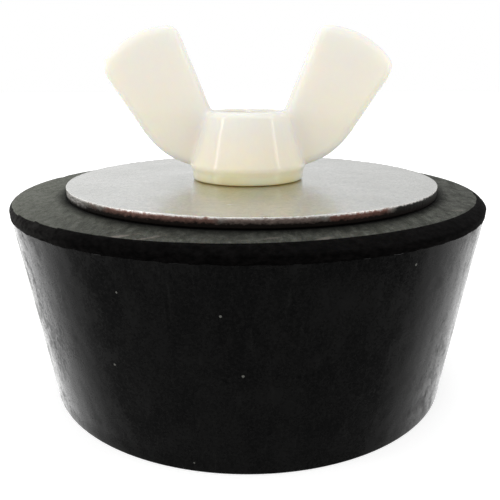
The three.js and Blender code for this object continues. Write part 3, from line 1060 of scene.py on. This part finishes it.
def washer_edge():
    """The stamped side: stained brown in stretches and dark in a stretch where it tore, with a painted
    highlight where the burr is and painted shade over its lower part.
    """
    burr, sheared, shaded_lower = (0.92, 0.90, 0.86), (0.50, 0.47, 0.43), (0.022, 0.018, 0.016)
    brown, black = (0.37, 0.165, 0.125), (0.045, 0.045, 0.042)
    groove, ridge = (0.30, 0.27, 0.25), (0.88, 0.86, 0.83)
    material, tree, shader = new_material("washer_edge", Metallic=1.0)
    at = add(tree, "ShaderNodeSeparateXYZ", {"Vector": places(tree)})
    round_it = calculated(tree, "ARCTAN2", at.outputs["Y"], at.outputs["X"])
    bearing = calculated(tree, "MULTIPLY", round_it, DEGREES)
    ragged = ranged(tree, grain(tree, 0.5 * MM, 5, 0.7, (1, 1, 0.6)), 0.3, 0.7, -0.14, 0.14)
    level = calculated(tree, "ADD", ranged(tree, at.outputs["Z"], washer_low.z, washer_high.z), ragged)
    patchy = ranged(tree, grain(tree, 2.5 * MM, 3, 0.6), 0.3, 0.7, -0.35, 0.35)
    stained = stretch_mask(tree, bearing, patchy, STAINED_STRETCHES)
    torn_dark = stretch_mask(tree, bearing, patchy, (TORN_STRETCH,))
    upper = blended(tree, stained, sheared, brown)
    upper = blended(tree, torn_dark, upper, black)
    # Painted shade: the lower part of the side is painted near black, for the shade under the washer's edge
    # and the dark it reflects there.
    side = blended(tree, ranged(tree, level, 0.42, 0.85), shaded_lower, upper)
    lines = ranged(tree, grain(tree, 0.14 * MM, 3, 0.6, (10, 10, 1)), 0.35, 0.6)
    polished = stretch_mask(tree, bearing, patchy, (POLISHED_STRETCH,))
    polished = calculated(tree, "MULTIPLY", polished, ranged(tree, level, 0.25, 0.5))
    side = blended(tree, polished, side, blended(tree, lines, groove, ridge))
    # Painted highlight: the burr along the top of the side is painted much brighter than the steel, for the
    # light it catches.
    base = blended(tree, ranged(tree, level, 0.84, 0.97), side, burr)
    tree.links.new(base, shader.inputs["Base Color"])
    tree.links.new(ranged(tree, level, 0.3, 1.0, 0.5, 0.28), shader.inputs["Roughness"])
    torn = grain(tree, 0.3 * MM, 4, 0.7, (1, 1, 3))
    tree.links.new(raised(tree, torn, 0.05 * MM, 0.7), shader.inputs["Normal"])
    return material


PLATING_SHADE = 0.82
BOTTOM_WASHER_COLOUR = (0.56, 0.57, 0.57)
BOLT_COLOUR = (0.50, 0.50, 0.51)


def plated_steel(name, colour):
    """Zinc-plated steel with a slightly uneven sheen."""
    material, tree, shader = new_material(name, Metallic=1.0)
    uneven = grain(tree, 1.2 * MM, 5, 0.6)
    darker = tuple(PLATING_SHADE * c for c in colour)
    base = blended(tree, ranged(tree, uneven, 0.35, 0.7), colour, darker)
    tree.links.new(base, shader.inputs["Base Color"])
    tree.links.new(ranged(tree, uneven, 0.3, 0.7, 0.24, 0.38), shader.inputs["Roughness"])
    tree.links.new(raised(tree, grain(tree, 0.3 * MM), 0.01 * MM, 0.3), shader.inputs["Normal"])
    return material


# How far from the middle, along X, the nylon has the hub's colour and from where it has the wings'
THICK_WITHIN = 6 * MM
THIN_BEYOND = 9.5 * MM
# The colours of the hub and of the wings, from the nut's foot (0) to its top (1). The hub's orange near its
# foot is partly the thick nylon's own and partly painted warm light bounced between the nut and the washer.
THICK_COLOURS = (
    (0.0, (0.99, 0.75, 0.40)),
    (0.05, (0.99, 0.85, 0.59)),
    (0.12, (0.91, 0.82, 0.66)),
    (0.3, (0.85, 0.79, 0.69)),
    (0.45, (0.82, 0.80, 0.75)),
)
THIN_COLOURS = (
    (0.1, (0.90, 0.86, 0.76)),
    (0.45, (0.87, 0.84, 0.735)),
    (0.75, (0.82, 0.795, 0.72)),
    (1.0, (0.78, 0.775, 0.74)),
)
# The whiter, cooler colour painted on the wings' rounded edges: a painted sheen for the light they catch.
EDGE_SHEEN_COLOUR = (0.86, 0.865, 0.85)
FLECK_COLOUR = (0.42, 0.36, 0.26)


def ivory_nylon():
    """Natural nylon: glossy and milky, warm where it is thick and almost orange at the collar, partly painted
    warm light reflected between nut and washer there, with a painted sheen on the wings' rounded edges.
    """
    material, tree, shader = new_material(
        "nylon_ivory", IOR=1.53, Subsurface_Weight=0.9, Subsurface_Scale=1.0,
        Subsurface_Radius=(2.6 * MM, 2.0 * MM, 1.1 * MM))
    at = add(tree, "ShaderNodeSeparateXYZ", {"Vector": places(tree)})
    cloud = ranged(tree, grain(tree, 6 * MM, 2, 0.5), 0.3, 0.7, -0.03, 0.03)
    height = ranged(tree, at.outputs["Z"], NUT_BASE, nut_high.z)
    level = calculated(tree, "ADD", height, cloud)
    thick = gradient(tree, level, THICK_COLOURS)
    thin = gradient(tree, level, THIN_COLOURS)
    out = calculated(tree, "ABSOLUTE", at.outputs["X"])
    wing = ranged(tree, out, THICK_WITHIN, THIN_BEYOND)
    normal = add(tree, "ShaderNodeTexCoord").outputs["Normal"]
    facing = add(tree, "ShaderNodeSeparateXYZ", {"Vector": normal})
    # Painted sheen: the wings are painted whiter and cooler where their faces turn away from Y, on the
    # rounded edges.
    edge_sheen = ranged(tree, calculated(tree, "ABSOLUTE", facing.outputs["Y"]), 0.95, 0.5, 0, 0.6)
    thin = blended(tree, edge_sheen, thin, EDGE_SHEEN_COLOUR)
    base = blended(tree, wing, thick, thin)
    fleck = specks(tree, 9 * MM, 0.09 * MM, 0.25)
    base = blended(tree, calculated(tree, "MULTIPLY", fleck, 0.5), base, FLECK_COLOUR)
    tree.links.new(base, shader.inputs["Base Color"])
    uneven = grain(tree, 3 * MM, 3, 0.5)
    tree.links.new(ranged(tree, uneven, 0.3, 0.7, 0.08, 0.14), shader.inputs["Roughness"])
    tree.links.new(raised(tree, uneven, 0.2 * MM, 0.5), shader.inputs["Normal"])
    return material


# ---------------------------------------------------------------- the scene

bpy.context.scene.view_settings.view_transform = "Standard"
make_camera()
make_world()
for softbox in SOFTBOXES:
    make_softbox(*softbox)
make_floor()

make_rubber([side_rubber(), lip_rubber(), top_rubber()])
make_top_washer([washer_face(), washer_edge()])
make_bottom_washer(plated_steel("bottom_washer_plating", BOTTOM_WASHER_COLOUR))
make_bolt(plated_steel("bolt_plating", BOLT_COLOUR))
make_wing_nut(ivory_nylon())
